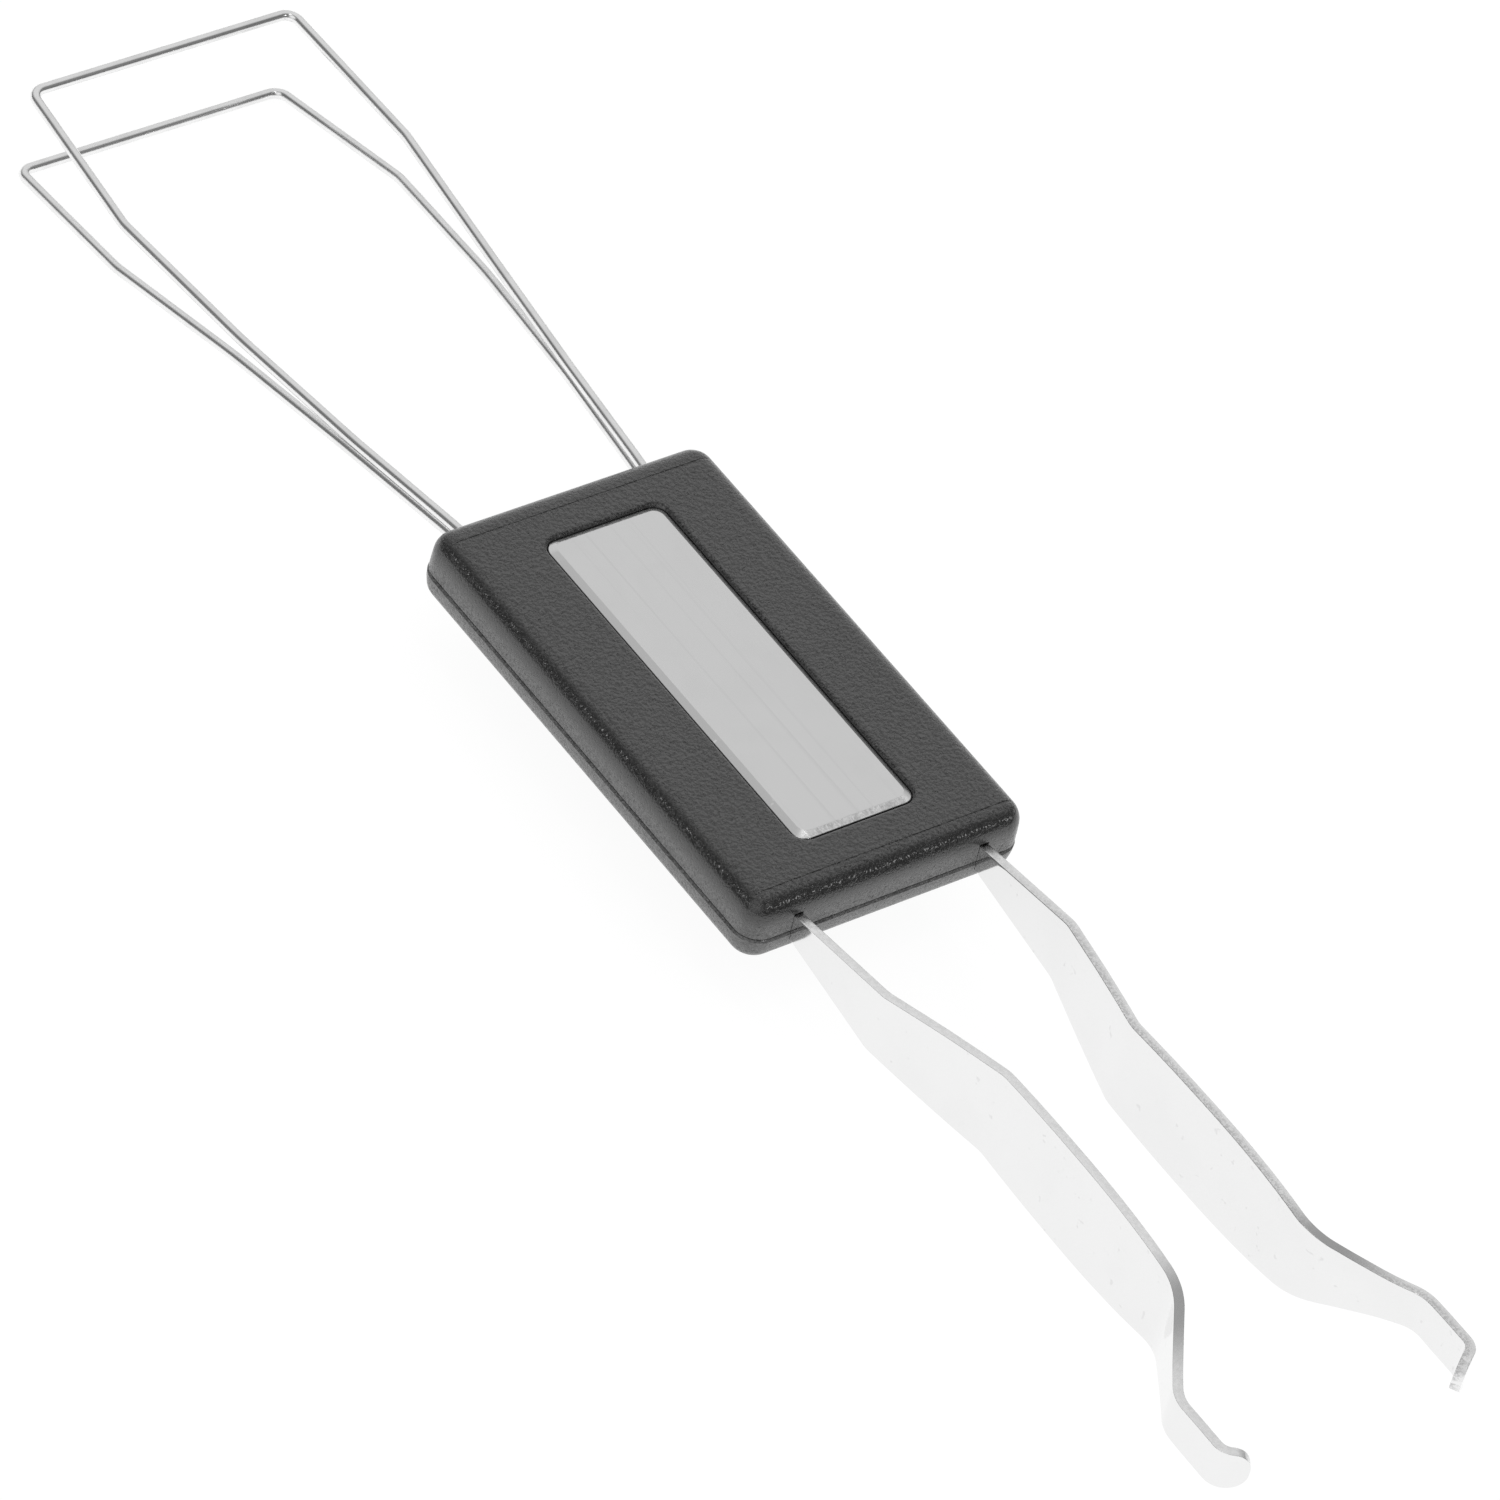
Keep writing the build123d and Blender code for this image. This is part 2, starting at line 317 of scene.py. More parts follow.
# Smudges: broad soft patches with a few small marks in them, as handled metal shows
smudge = {
    "patchNoise": {"Detail": 3.0, "Roughness": 0.55, "Distortion": 0.4},
    "patchRange": (0.4, 0.7),
    "markNoise": {"Detail": 2.0, "Roughness": 0.5},
    "markRange": (0.68, 0.76),
    "markFineness": 7.0,
}
smudgeGroup, given, result = newGroup("smudges", ["Fineness"], ["Patches", "Marks"])
vector = given.outputs["Vector"]
fineness = given.outputs["Fineness"]
markFineness = mathNode(smudgeGroup, "MULTIPLY", fineness, smudge["markFineness"])
patches = noiseNode(smudgeGroup, vector, fineness, smudge["patchNoise"])
marks = noiseNode(smudgeGroup, vector, markFineness, smudge["markNoise"])
patches = rangeNode(smudgeGroup, patches, smudge["patchRange"])
marks = rangeNode(smudgeGroup, marks, smudge["markRange"])
feed(smudgeGroup, result, links={"Patches": patches, "Marks": marks})

# Mould grain: fine folds like leather with a few small pits among them, as an etched mould leaves
mould = {
    "foldNoise": {"Detail": 2.0, "Roughness": 0.5, "Distortion": 0.7},
    "foldShare": 0.4,
    "toneRange": (0.35, 0.65),
    "pitFineness": 0.45,
    "pitChance": (0.72, 0.76),
    "pitRange": (0.08, 0.32),
    "pitShare": 0.5,
    # The flank entries shape painted light on one side of each fold
    "flankNoise": {"Detail": 1.0, "Roughness": 0.5, "Distortion": 0.5},
    "flankFineness": 0.65,
    "flankStep": (0.06 * mm, 0.057 * mm, 0.0),
    "flankRange": (-0.065, 0.065),
}
grainGroup, given, result = newGroup("mouldGrain", ["Fineness"], ["Height", "Tone", "PaintedFlank"])
vector = given.outputs["Vector"]
fineness = given.outputs["Fineness"]
soft = noiseNode(grainGroup, vector, fineness, mould["foldNoise"])
# A fold has its crest where the noise goes through its middle
swing = mathNode(grainGroup, "MULTIPLY", mathNode(grainGroup, "SUBTRACT", soft, 0.5), 2.0)
fold = mathNode(grainGroup, "SUBTRACT", 1.0, mathNode(grainGroup, "ABSOLUTE", swing))
pitFineness = mathNode(grainGroup, "MULTIPLY", fineness, mould["pitFineness"])
cell = put(
    grainGroup, "ShaderNodeTexVoronoi", {"Randomness": 1.0}, {"Vector": vector, "Scale": pitFineness}
)
cellShade = put(grainGroup, "ShaderNodeSeparateColor", links={"Color": cell.outputs["Color"]})
pitHere = rangeNode(grainGroup, cellShade.outputs[0], mould["pitChance"])
pitShape = rangeNode(grainGroup, cell.outputs["Distance"], mould["pitRange"], (1.0, 0.0))
pit = productOf(grainGroup, pitHere, pitShape, mould["pitShare"])
height = mathNode(grainGroup, "ADD", soft, mathNode(grainGroup, "MULTIPLY", fold, mould["foldShare"]))
height = mathNode(grainGroup, "SUBTRACT", height, pit)
# Painted light: one flank of each broad fold is painted lighter, as if lit from one side: the height here
# less the height a little way on
wayOn = put(
    grainGroup, "ShaderNodeVectorMath", {1: mould["flankStep"]}, {0: vector}, operation="ADD"
)
flankFineness = mathNode(grainGroup, "MULTIPLY", fineness, mould["flankFineness"])
here = noiseNode(grainGroup, vector, flankFineness, mould["flankNoise"])
further = noiseNode(grainGroup, wayOn.outputs[0], flankFineness, mould["flankNoise"])
paintedFlank = rangeNode(grainGroup, mathNode(grainGroup, "SUBTRACT", here, further), mould["flankRange"])
tone = rangeNode(grainGroup, soft, mould["toneRange"])
feed(grainGroup, result, links={"Height": height, "Tone": tone, "PaintedFlank": paintedFlank})
print("shared effects ready")


# Finishes; lengths and bands are in mm, greys and roughness from 0 to 1

plasticLook = {
    "dark": 0.0,
    "light": 0.042,
    "paintedWallLight": 0.052,
    "paintedEdgeShade": 0.00945,
    "roughness": (0.3, 0.22),
    "specular": 0.95,
    "refraction": 1.53,
    "sheen": 0.13,
    "sheenRoughness": 0.4,
    "grainSize": 0.2,
    "grainStrength": 1.0,
    "grainDepth": 0.09,
    "grainMean": 0.78,
    "wornGrain": 0.5,
    "topBand": (-0.3, -0.1),
    "wallBand": (0.9, 1.9),
    "paintedGlint": 0.3,
    "speckSize": 0.13,
    "speckDetail": 1.0,
    "speckBand": (0.0, 0.19),
    "speckInset": 0.6,
    "speckDrop": 0.52,
    "endSpecks": (0.56, 0.66),
    "sideSpecks": (0.615, 0.715),
    "creaseFromEnd": 2.0,
    "creaseShift": -0.28,
    "creaseBand": (0.0, 0.14),
    "creaseDepth": 0.9,
}
shellPlastic, tree, surface = newMaterial("shellPlastic")
place = put(tree, "ShaderNodeTexCoord").outputs["Object"]
spot = put(tree, "ShaderNodeSeparateXYZ", links={"Vector": place}).outputs
middle = float(handleOrigin[1])
grain = useGroup(tree, grainGroup, place, Fineness=1 / (plasticLook["grainSize"] * mm))
# Painted light: the top's tone is lighter on the flank of each fold that faces the light
tone = mixTone(tree, grain["PaintedFlank"], plasticLook["dark"], plasticLook["light"])
# Painted shade: the rounded edges are painted darker than the top
onTop = bandNode(tree, spot["Z"], plasticLook["topBand"], level=upperHigh.z)
tone = mixTone(tree, onTop, plasticLook["paintedEdgeShade"], tone)
# Painted light: the walls are painted a little lighter than the top
darkWallPainted = plasticLook["dark"] + plasticLook["paintedWallLight"]
lightWallPainted = plasticLook["light"] + plasticLook["paintedWallLight"]
paintedWallTone = mixTone(tree, grain["PaintedFlank"], darkWallPainted, lightWallPainted)
onWall = bandNode(tree, spot["Z"], plasticLook["wallBand"], (1.0, 0.0), upperLow.z)
tone = mixTone(tree, onWall, tone, paintedWallTone)
# Painted highlights: bright glints painted along the rounded top edges, close together at the ends and few
# at the sides
speckFineness = 1 / (plasticLook["speckSize"] * mm)
scatter = put(
    tree,
    "ShaderNodeTexNoise",
    {"Scale": speckFineness, "Detail": plasticLook["speckDetail"]},
    {"Vector": place},
)
belowTop = mathNode(tree, "SUBTRACT", spot["Z"], upperHigh.z - plasticLook["speckDrop"] * mm)
fromEnd = awayFrom(tree, spot["Y"], middle)
fromEnd = mathNode(tree, "SUBTRACT", fromEnd, (halfLength - plasticLook["speckInset"]) * mm)
fromSide = mathNode(tree, "ABSOLUTE", spot["X"])
fromSide = mathNode(tree, "SUBTRACT", fromSide, (halfWidth - plasticLook["speckInset"]) * mm)
paintedGlints = 0.0
for offEdge, chance in ((fromEnd, "endSpecks"), (fromSide, "sideSpecks")):
    squares = [mathNode(tree, "POWER", part, 2.0) for part in (offEdge, belowTop)]
    reach = mathNode(tree, "SQRT", mathNode(tree, "ADD", *squares))
    nearEdge = bandNode(tree, reach, plasticLook["speckBand"], (1.0, 0.0))
    specks = mathNode(tree, "MULTIPLY", nearEdge, rangeNode(tree, scatter.outputs[0], plasticLook[chance]))
    paintedGlints = mathNode(tree, "MAXIMUM", paintedGlints, specks)
tone = mixTone(tree, paintedGlints, tone, plasticLook["paintedGlint"])
# A crease across each end of the top
fromMiddle = awayFrom(tree, spot["Y"], middle + plasticLook["creaseShift"] * mm)
offCrease = awayFrom(tree, fromMiddle, (halfLength - plasticLook["creaseFromEnd"]) * mm)
crease = bandNode(tree, offCrease, plasticLook["creaseBand"], (1.0, 0.0))
crease = productOf(tree, crease, onTop, plasticLook["creaseDepth"])
# The grain is shallower where the rounded edges are worn
unworn = mathNode(tree, "MAXIMUM", onTop, onWall)
grainKept = rangeNode(tree, unworn, (0.0, 1.0), (plasticLook["wornGrain"], 1.0))
swing = mathNode(tree, "SUBTRACT", grain["Height"], plasticLook["grainMean"])
height = mathNode(tree, "SUBTRACT", mathNode(tree, "MULTIPLY", swing, grainKept), crease)
feed(
    tree,
    surface,
    {
        "Specular IOR Level": plasticLook["specular"],
        "IOR": plasticLook["refraction"],
        "Sheen Weight": plasticLook["sheen"],
        "Sheen Roughness": plasticLook["sheenRoughness"],
    },
    {
        "Base Color": tone,
        "Roughness": rangeNode(tree, grain["Tone"], (0.0, 1.0), plasticLook["roughness"]),
        "Normal": bumpNode(tree, height, plasticLook["grainStrength"], plasticLook["grainDepth"]),
    },
)


def finishMetal(tree, surface, tone, rough, normal):
    feed(tree, surface, {"Metallic": 1.0}, {"Base Color": tone, "Roughness": rough, "Normal": normal})


plateLook = {
    "colour": 0.77,
    "shade": 0.755,
    "smudgeFineness": 220.0,
    "lineFineness": 5000.0,
    "lineStretch": 0.02,
    "lineRange": (0.3, 0.7),
    "roughness": (0.26, 0.27),
    "lineStrength": 0.7,
    "lineDepth": 0.04,
    "flatLines": 0.005,
    "drawFineness": 1500.0,
    "drawStretch": 0.006,
    "drawRange": (0.6, 0.72),
    "drawShare": (0.0, 0.7),
    "drawShade": 0.71,
    "bevelLow": 0.76,
    "bevelHigh": 1.0,
    "bevelSide": 0.79,
    "bevelLines": (0.35, 0.65),
    "bevelMask": (0.05, 0.35),
    "endMask": (0.45, 0.95),
}
plateMetal, tree, surface = newMaterial("plateMetal")
place = put(tree, "ShaderNodeTexCoord").outputs["Object"]
turned = put(tree, "ShaderNodeMapping", {"Rotation": (0.0, 0.0, math.radians(-90))}, {"Vector": place})
lengthwise = turned.outputs[0]
edge = put(tree, "ShaderNodeAttribute", attribute_name="edge").outputs["Fac"]
handled = useGroup(tree, smudgeGroup, place, Fineness=plateLook["smudgeFineness"])
tone = mixTone(tree, handled["Patches"], plateLook["colour"], plateLook["shade"])
# A few long lines from drawing the sheet lie over the fine brushed ones
drawn = useGroup(
    tree, streakGroup, lengthwise, Fineness=plateLook["drawFineness"], Stretch=plateLook["drawStretch"]
)
drawLine = rangeNode(tree, drawn["Lines"], plateLook["drawRange"], plateLook["drawShare"])
tone = mixTone(tree, drawLine, tone, plateLook["drawShade"])
lines = useGroup(
    tree, streakGroup, lengthwise, Fineness=plateLook["lineFineness"], Stretch=plateLook["lineStretch"]
)["Lines"]
# The bevels at the ends show the brushed lines cut across, and those at the sides a few bright marks
onBevel = rangeNode(tree, edge, plateLook["bevelMask"])
onEnd = rangeNode(tree, edge, plateLook["endMask"])
lineShade = rangeNode(tree, lines, plateLook["bevelLines"], (1.0, 0.0))
endTone = mixTone(tree, lineShade, plateLook["bevelHigh"], plateLook["bevelLow"])
sideTone = mixTone(tree, handled["Marks"], plateLook["bevelSide"], plateLook["bevelHigh"])
tone = mixTone(tree, onBevel, tone, mixTone(tree, onEnd, sideTone, endTone))
lineHeight = mathNode(tree, "MULTIPLY", lines, mathNode(tree, "ADD", onEnd, plateLook["flatLines"]))
finishMetal(
    tree,
    surface,
    tone,
    rangeNode(tree, lines, plateLook["lineRange"], plateLook["roughness"]),
    bumpNode(tree, lineHeight, plateLook["lineStrength"], plateLook["lineDepth"]),
)

wireLook = {
    "colour": 0.91,
    "shade": 0.84,
    "smudgeFineness": 350.0,
    "lineFineness": 7000.0,
    "lineStretch": 0.01,
    "lineRange": (0.3, 0.7),
    "roughness": (0.22, 0.3),
    "lineStrength": 0.2,
    "lineDepth": 0.004,
}
wireSteel, tree, surface = newMaterial("wireSteel")
flow = put(tree, "ShaderNodeAttribute", attribute_name="flow").outputs["Vector"]
handled = useGroup(tree, smudgeGroup, flow, Fineness=wireLook["smudgeFineness"])
lines = useGroup(
    tree, streakGroup, flow, Fineness=wireLook["lineFineness"], Stretch=wireLook["lineStretch"]
)["Lines"]
finishMetal(
    tree,
    surface,
    mixTone(tree, handled["Patches"], wireLook["colour"], wireLook["shade"]),
    rangeNode(tree, lines, wireLook["lineRange"], wireLook["roughness"]),
    bumpNode(tree, lines, wireLook["lineStrength"], wireLook["lineDepth"]),
)

# Where an entry has two pairs, they are a band and the amounts at its two ends
stripLook = {
    "face": 0.87,
    "faceShade": 0.86,
    "faceRough": (0.07, 0.11),
    "smudgeFineness": 180.0,
    "mark": 0.72,
    "markShare": 0.6,
    "edge": 0.98,
    "edgeShade": 0.9,
    "edgeMask": (0.45, 0.85),
    "edgeRough": (0.22, 0.32),
    "edgeGrain": 0.32,
    "edgeStrength": 0.4,
    "edgeDepth": 0.02,
    "burr": 0.62,
    "burrGrain": 0.16,
    "burrInner": ((-0.3, 0.15), (0.15, 1.0)),
    "burrBlade": ((-1.0, 1.0), (0.2, 1.0)),
    "burrAlong": ((-34.0, -22.0), (1.0, 0.4)),
    "burrTorn": ((0.2, 0.8), (0.3, 1.0)),
    # Painted shade: the grey that the edges are darkened to along the jaws
    "jaw": 0.42,
    "jawNear": ((-61.0, -56.5), (0.95, 0.0)),
    "jawFar": ((-66.5, -62.0), (0.08, 1.0)),
    "tipRough": ((-72.8, -72.1), (0.4, 0.0)),
}
stripSteel, tree, surface = newMaterial("stripSteel")
place = put(tree, "ShaderNodeTexCoord").outputs["Object"]
spot = put(tree, "ShaderNodeSeparateXYZ", links={"Vector": place}).outputs
flow = put(tree, "ShaderNodeAttribute", attribute_name="flow").outputs["Vector"]
sideways = put(tree, "ShaderNodeSeparateXYZ", links={"Vector": flow}).outputs["Y"]
edge = put(tree, "ShaderNodeAttribute", attribute_name="edge").outputs["Fac"]
onEdge = rangeNode(tree, edge, stripLook["edgeMask"])
handled = useGroup(tree, smudgeGroup, flow, Fineness=stripLook["smudgeFineness"])
marks = mathNode(tree, "MULTIPLY", handled["Marks"], stripLook["markShare"])
faceTone = mixTone(tree, handled["Patches"], stripLook["face"], stripLook["faceShade"])
faceTone = mixTone(tree, marks, faceTone, stripLook["mark"])
sheared = useGroup(tree, grainGroup, flow, Fineness=1 / (stripLook["edgeGrain"] * mm))
edgeTone = mixTone(tree, sheared["Tone"], stripLook["edge"], stripLook["edgeShade"])
# Torn burr along the inner side of the edges, heavier on one blade, and painted shade darkening the edges
# along the jaws
torn = useGroup(tree, grainGroup, flow, Fineness=1 / (stripLook["burrGrain"] * mm))
burr = productOf(
    tree,
    bandNode(tree, sideways, *stripLook["burrInner"]),
    bandNode(tree, spot["X"], *stripLook["burrBlade"]),
    bandNode(tree, spot["Y"], *stripLook["burrAlong"]),
    rangeNode(tree, torn["Tone"], *stripLook["burrTorn"]),
)
# Painted shade: the tilted edges along the jaws are painted darker
jaw = productOf(
    tree,
    bandNode(tree, spot["Y"], *stripLook["jawNear"]),
    bandNode(tree, spot["Y"], *stripLook["jawFar"]),
)
edgeTone = mixTone(tree, burr, edgeTone, stripLook["burr"])
edgeTone = mixTone(tree, jaw, edgeTone, stripLook["jaw"])
faceRough = rangeNode(tree, handled["Patches"], (0.0, 1.0), stripLook["faceRough"])
edgeRough = rangeNode(tree, sheared["Tone"], (0.0, 1.0), stripLook["edgeRough"])
edgeRough = mathNode(tree, "MAXIMUM", edgeRough, bandNode(tree, spot["Y"], *stripLook["tipRough"]))
rough = put(tree, "ShaderNodeMix", links={"Factor": onEdge, 2: faceRough, 3: edgeRough})
edgeHeight = mathNode(tree, "MULTIPLY", sheared["Height"], onEdge)
finishMetal(
    tree,
    surface,
    mixTone(tree, onEdge, faceTone, edgeTone),
    rough.outputs[0],
    bumpNode(tree, edgeHeight, stripLook["edgeStrength"], stripLook["edgeDepth"]),
)
print("finishes ready")


# Handle shells: rounded rectangles stacked from the seam, with openings for the blades and wires

shell = {
    "upperCorner": 1.9,
    "lowerCorner": 2.0,
    "upperLeast": 0.15,
    "lowerLeast": 0.2,
    "cornerSteps": 10,
    "upperEdge": 1.6,
    "lowerEdge": 1.4,
    "upperLean": 4.0,
    "lowerLean": 14.0,
    "edgeSteps": 14,
    "seamStep": 0.1,
    "seamBreak": 0.15,
    "rimRound": 0.44,
    "rimAngle": 80.0,
    "rimSteps": 8,
    "support": 0.2,
    "slopeLength": 2.0,
    "slopeDrop": 0.07,
    "slopeFade": 0.5,
    "slopeEase": 0.12,
}
pocket = {"halfX": 5.19, "halfY": 15.985, "radius": 1.15, "gap": 0.085}
bladeNotch = {"x": 8.05, "halfWidth": 0.4, "depth": 2.2, "top": 1.7, "bottom": 0.68}
wireSlot = {"x": 7.92, "halfWidth": 0.45, "depth": 1.6, "top": 1.15, "bottom": 0.58, "lean": -0.23}

bothSides = np.array([[-1], [1]])
notchStops = (bothSides * bladeNotch["x"] + bothSides.T * bladeNotch["halfWidth"]).ravel()
slotStops = (bothSides * wireSlot["x"] + bothSides.T * wireSlot["halfWidth"]).ravel()
evenStops = np.linspace(-0.6, 0.6, 7)
wallStops = np.linspace(-0.9, 0.9, 10)


def openingsFor(columns, straight, seamRow, notchRow, slotRow):
    # First column, rows from the seam, depth into the wall and sideways lean of each opening
    shareX, shareY, _ = columns
    step = 1 if notchRow > seamRow else -1
    notchRows = np.arange(seamRow, notchRow + step, step)
    slotRows = np.arange(seamRow, slotRow + step, step)
    found = []
    for side in (-1, 1):
        left = (side * bladeNotch["x"] - bladeNotch["halfWidth"]) / straight
        right = (side * wireSlot["x"] + wireSlot["halfWidth"]) / straight
        front = np.argmin(np.where(shareY == -1, np.abs(shareX - left), np.inf))
        back = np.argmin(np.where(shareY == 1, np.abs(shareX - right), np.inf))
        found.append((int(front), notchRows, bladeNotch["depth"], 0.0))
        found.append((int(back), slotRows, -wireSlot["depth"], side * wireSlot["lean"]))
    return found


def shellPiece(name, corner, halfX, halfY, radius, z, seamRow, notchRow, slotRow):
    # Rings joined into a skin, each opening lined with a pocket, and the seam face and far face closed
    straight = halfWidth - corner
    columns = roundedColumns(
        np.concatenate([notchStops / straight, evenStops]),
        np.concatenate([slotStops / straight, evenStops]),
        wallStops,
        shell["cornerSteps"],
    )
    x, y = ringGrid(columns, halfX, halfY, radius)
    rows, cols = x.shape
    slope = np.clip((np.abs(y) - halfLength + shell["slopeLength"]) / shell["slopeLength"], 0, 1)
    high = np.broadcast_to(np.asarray(z, float)[:, None], x.shape)
    aboveNotch = np.clip((high - bladeNotch["top"]) / shell["slopeFade"], 0, 1)
    high = high - slope * shell["slopeDrop"] * aboveNotch
    points = np.stack([x, y, high], axis=-1).reshape(-1, 3)
    quads = gridQuads(rows, cols)
    keep = np.ones(quads.shape[:2], bool)
    lining = []
    seamAt = []
    seamInsert = []
    upward = seamRow == 0
    for column, span, depth, lean in openingsFor(columns, straight, seamRow, notchRow, slotRow):
        keep[min(span):max(span), column] = False
        mouth = np.concatenate([span * cols + column, span[::-1] * cols + column + 1])
        inner = points[mouth] + [lean, 0, 0]
        outside = points[mouth, 1].min() if depth > 0 else points[mouth, 1].max()
        inner[:, 1] = outside + depth
        deep = len(points) + np.arange(len(mouth))
        points = np.concatenate([points, inner])
        walls = np.stack([mouth[:-1], deep[:-1], deep[1:], mouth[1:]], axis=-1)
        lining += (walls if upward else walls[:, ::-1]).tolist()
        lining.append((deep[::-1] if upward else deep).tolist())
        seamAt += [column + 1, column + 1]
        seamInsert += [deep[0], deep[-1]]
    ring = np.arange(cols)
    seamFace = np.insert(ring + seamRow * cols, seamAt, seamInsert)
    farFace = ring + (rows - 1 if upward else 0) * cols
    caps = [seamFace[::-1], farFace] if upward else [seamFace, farFace[::-1]]
    faces = quads[keep].tolist() + lining + [cap.tolist() for cap in caps]
    makePiece(name, points, faces, name.replace("Shell", "_shell"), shellPlastic)


def crownedWall(height, radius, leanAngle, levels):
    # Wall that starts upright at the seam and leans in with the square of the height, then an arc to
    # the flat: how far in and how far from the seam at each level and along the arc
    start = math.radians(leanAngle)
    wall = height - radius * (1 - math.sin(start))
    leanIn = wall * math.tan(start) / 2
    turn = np.linspace(start, math.pi / 2, shell["edgeSteps"] + 1)
    arcIn = leanIn + radius * (math.cos(start) - np.cos(turn))
    arcUp = wall + radius * (np.sin(turn) - math.sin(start))
    levels = np.array(levels)
    return np.concatenate([leanIn * (levels / wall) ** 2, arcIn]), np.concatenate([levels, arcUp])


# Upper shell: seam break, wall, edge round, top, rounded pocket rim, pocket wall and pocket floor
wallIn, wallUp = crownedWall(
    topHeight,
    shell["upperEdge"],
    shell["upperLean"],
    [0, shell["seamBreak"], wireSlot["top"], bladeNotch["top"]],
)
wallIn = wallIn + shell["seamStep"]
wallIn[0] += shell["seamBreak"]
slopeStart = shell["slopeLength"] + shell["slopeEase"] * np.array([-1, 0, 1])
inset = np.concatenate([wallIn, [wallIn[-1] + shell["support"] / 4], slopeStart])
rise = np.concatenate([wallUp, [topHeight] * (len(inset) - len(wallUp))])
rimTurn = np.radians(np.linspace(0, shell["rimAngle"], shell["rimSteps"] + 1))
rimIn = shell["rimRound"] * (math.sin(rimTurn[-1]) - np.sin(rimTurn))
rimDown = shell["rimRound"] * (1 - np.cos(rimTurn))
rimOut = np.concatenate([[rimIn[0] + shell["support"]], rimIn, [0, -2 * shell["support"]]])
rimZ = np.concatenate([[topHeight], topHeight - rimDown, [pocketFloor, pocketFloor]])
cornerRadius = np.maximum(shell["upperCorner"] - inset, shell["upperLeast"])
shellPiece(
    "upperShell",
    shell["upperCorner"],
    np.concatenate([halfWidth - inset, pocket["halfX"] + rimOut]),
    np.concatenate([halfLength - inset, pocket["halfY"] + rimOut]),
    np.concatenate([cornerRadius, pocket["radius"] + rimOut]),
    np.concatenate([rise, rimZ]),
    seamRow=0,
    notchRow=3,
    slotRow=2,
)

# Lower shell: flat back, edge round, wall and seam break
wallIn, wallDown = crownedWall(
    bottomDepth,
    shell["lowerEdge"],
    shell["lowerLean"],
    [0, shell["seamBreak"], wireSlot["bottom"], bladeNotch["bottom"]],
)
wallIn[0] += shell["seamBreak"]
inset = np.concatenate([[wallIn[-1] + shell["support"]], wallIn[::-1]])
rise = np.concatenate([[-bottomDepth], -wallDown[::-1]])
lastRow = len(rise) - 1
shellPiece(
    "lowerShell",
    shell["lowerCorner"],
    halfWidth - inset,
    halfLength - inset,
    np.maximum(shell["lowerCorner"] - inset, shell["lowerLeast"]),
    rise,
    seamRow=lastRow,
    notchRow=lastRow - 3,
    slotRow=lastRow - 2,
)


# Inlay plate: a flat blank with bevelled edges, lying in the pocket; the three rows of shares run from
# its foot over the bevel to the top

plate = {
    "bevelWidth": 0.51,
    "bevelDrop": 0.29,
    "frontEase": 0.06,
    "insetShare": (0, 0, 0.06, 0.94, 1, 1.6),
    "fallShare": (0, 1.08, 0.94, 0.06, 0, 0),
    "bevelShare": (0, 0, 1, 1, 0, 0),
    "sideMask": 0.4,
    "maskPower": 4,
    "cornerShare": 0.6,
    "leastCorner": 0.1,
    "cornerSteps": 10,
    "sharpAngle": 12,
}
plateHalfX = (plateHigh.x - plateLow.x) / 2 / mm
plateHalfY = (plateHigh.y - plateLow.y) / 2 / mm
plateTop = (plateHigh.z - upperLow.z) / mm
inset = plate["bevelWidth"] * np.array(plate["insetShare"])
endStops = np.linspace(-0.8, 0.8, 5)
columns = roundedColumns(endStops, endStops, wallStops, plate["cornerSteps"])
towardsEnd = np.sin(columns[2])
drop = plate["bevelDrop"] - plate["frontEase"] * np.clip(-towardsEnd, 0, 1) ** 2
rise = plateTop - np.array(plate["fallShare"])[:, None] * drop[None, :]
rise[0] = pocketFloor
bevelMask = plate["sideMask"] + (1 - plate["sideMask"]) * np.abs(towardsEnd) ** plate["maskPower"]
edge = np.array(plate["bevelShare"])[:, None] * bevelMask[None, :]
cornerRadius = pocket["radius"] - pocket["gap"] - plate["cornerShare"] * inset
cornerRadius = np.maximum(cornerRadius, plate["leastCorner"])
x, y = ringGrid(columns, plateHalfX - inset, plateHalfY - inset, cornerRadius)
makePiece(
    "inlayPlate",
    np.stack([x, y, rise], axis=-1),
    closedFaces(*x.shape),
    "inlay_plate",
    plateMetal,
    edge=edge,
    sharpAngle=plate["sharpAngle"],
)


# Wire loops: round wire bent at the anchors, bows, kinks and corners, mirrored across the handle

wire = {
    "radius": 0.4,
    "upperLevel": 0.72,
    "lowerLevel": -0.15,
    "sides": 20,
    "arcStep": 6.0,
    "anchor": (7.0, 14.0),
    "anchorTip": (5.7, 11.75),
    "exit": (8.15, 22.05),
    "anchorRadius": 1.2,
    "exitRadius": 30.0,
    "bowRadius": 40.0,
    "kinkRadius": 4.0,
    "cornerRadius": 1.1,
    "upperBends": [(9.51, 32.5, 0.12), (11.05, 45.0, -0.2), (12.45, 58.46, -0.06), (11.53, 72.78, 0.57)],
    "lowerBends": [(9.65, 33.0, -0.78), (11.1, 45.0, -1.93), (12.52, 58.21, -4.03), (11.55, 72.26, -6.8)],
}


